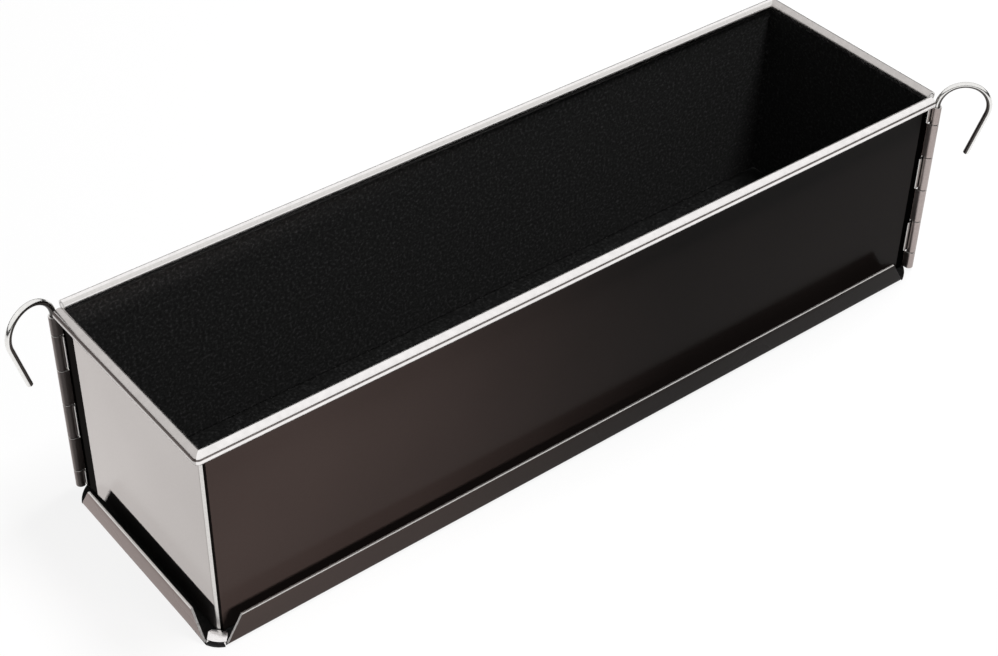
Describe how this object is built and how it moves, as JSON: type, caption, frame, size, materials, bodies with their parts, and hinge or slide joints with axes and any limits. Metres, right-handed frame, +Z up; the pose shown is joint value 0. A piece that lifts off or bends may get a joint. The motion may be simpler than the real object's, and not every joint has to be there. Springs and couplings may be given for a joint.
{
  "type": "terrine mould",
  "caption": "Long hinged terrine mould: two L-shaped coated steel walls with rolled rims, joined by removable hooked hinge pins, standing in a loose lipped base tray.",
  "frame": {"origin": "centre of the flat underside of the base tray", "axes": "+Z up, +X along the length of the mould, the folded near corner at -X -Y"},
  "size_m": [0.3371, 0.0991, 0.0829],
  "materials": {
    "tray_coating": "dark brown baked coating with bare cut edges",
    "wall_coating": "dark brown baked coating outside, black non-stick inside, bare steel rim",
    "rim_wire_steel": "drawn steel wire",
    "pin_steel": "polished bent steel wire"
  },
  "bodies": {
    "tray": {"base_tray": "tray_coating"},
    "wall_frame": {"front_wall": "wall_coating", "rear_wall": "wall_coating", "front_rim_wire": "rim_wire_steel", "rear_rim_wire": "rim_wire_steel"},
    "left_pin": {"left_hinge_pin": "pin_steel"},
    "right_pin": {"right_hinge_pin": "pin_steel"}
  },
  "joints": [
    {"name": "frame_lift", "type": "slide", "parent": "tray", "child": "wall_frame", "axis": [0, 0, 1], "range_m": [0, 0.1]},
    {"name": "left_pin_pull", "type": "slide", "parent": "wall_frame", "child": "left_pin", "axis": [0, 0, 1], "range_m": [0, 0.08]},
    {"name": "right_pin_pull", "type": "slide", "parent": "wall_frame", "child": "right_pin", "axis": [0, 0, 1], "range_m": [0, 0.08]}
  ]
}
